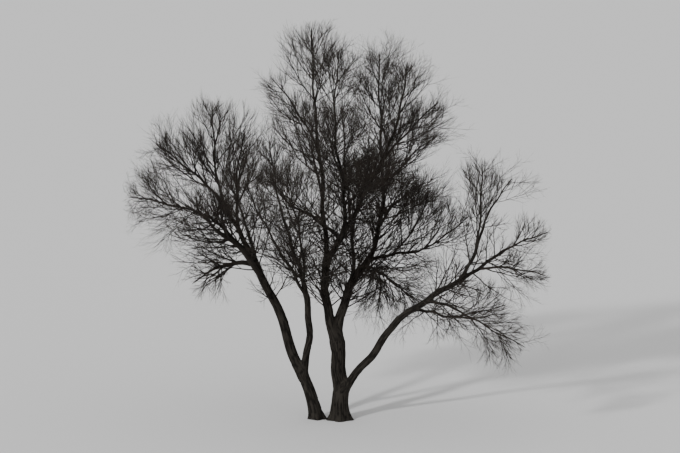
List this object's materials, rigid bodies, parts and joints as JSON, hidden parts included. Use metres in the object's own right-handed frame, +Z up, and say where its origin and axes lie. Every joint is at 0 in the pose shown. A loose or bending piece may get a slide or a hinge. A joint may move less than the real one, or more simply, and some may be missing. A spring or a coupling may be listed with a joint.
{
  "type": "bare winter tree",
  "caption": "Leafless field tree with a short forked trunk, a second leaning stem, a low side bough and a wide, uneven crown of fine twigs.",
  "frame": {"origin": "centre of the flat cut under the main trunk, at ground level", "axes": "+Z up along the trunk, +X towards the side of the low bough, +Y away from the side that shows the two stems one beside the other"},
  "size_m": [6.2116, 4.5385, 5.9335],
  "materials": {
    "bark": "rough grey-brown bark",
    "twigs": "dull brown twig bark"
  },
  "bodies": {
    "root": {"trunk": "bark", "left_stem": "bark", "middle_stem": "bark", "right_bough": "bark", "right_arm": "bark", "right_tip": "bark", "right_riser": "bark", "right_droop": "bark", "right_underarm": "bark", "left_fork": "bark", "right_fork": "bark", "centre_bough": "bark", "back_riser": "bark", "crossing_bough": "bark", "leading_bough": "bark", "front_riser": "bark", "crown_riser": "bark", "level_bough": "bark", "hanging_bough": "bark", "rear_bough": "bark", "left_branch": "bark", "left_leader": "bark", "left_rear": "bark", "inner_left": "bark", "inner_riser": "bark", "inner_front": "bark", "twigs_left_far": "twigs", "twigs_left_high": "twigs", "twigs_left_top": "twigs", "twigs_left_crest": "twigs", "twigs_left_rear": "twigs", "twigs_left_front": "twigs", "twigs_left_low": "twigs", "twigs_inner_left": "twigs", "twigs_inner_riser": "twigs", "twigs_inner_front": "twigs", "twigs_crossing": "twigs", "twigs_upper_left": "twigs", "twigs_top": "twigs", "twigs_back_left": "twigs", "twigs_centre_top": "twigs", "twigs_front_top": "twigs", "twigs_leading_top": "twigs", "twigs_leading_right": "twigs", "twigs_front_right": "twigs", "twigs_crown_top": "twigs", "twigs_crown_right": "twigs", "twigs_rear_right": "twigs", "twigs_rear_top": "twigs", "twigs_rear": "twigs", "twigs_level_up": "twigs", "twigs_level_out": "twigs", "twigs_hanging": "twigs", "twigs_hanging_inner": "twigs", "twigs_riser_right": "twigs", "twigs_riser_left": "twigs", "twigs_right_far": "twigs", "twigs_right_level": "twigs", "twigs_right_droop": "twigs", "twigs_right_under": "twigs"}
  },
  "joints": []
}
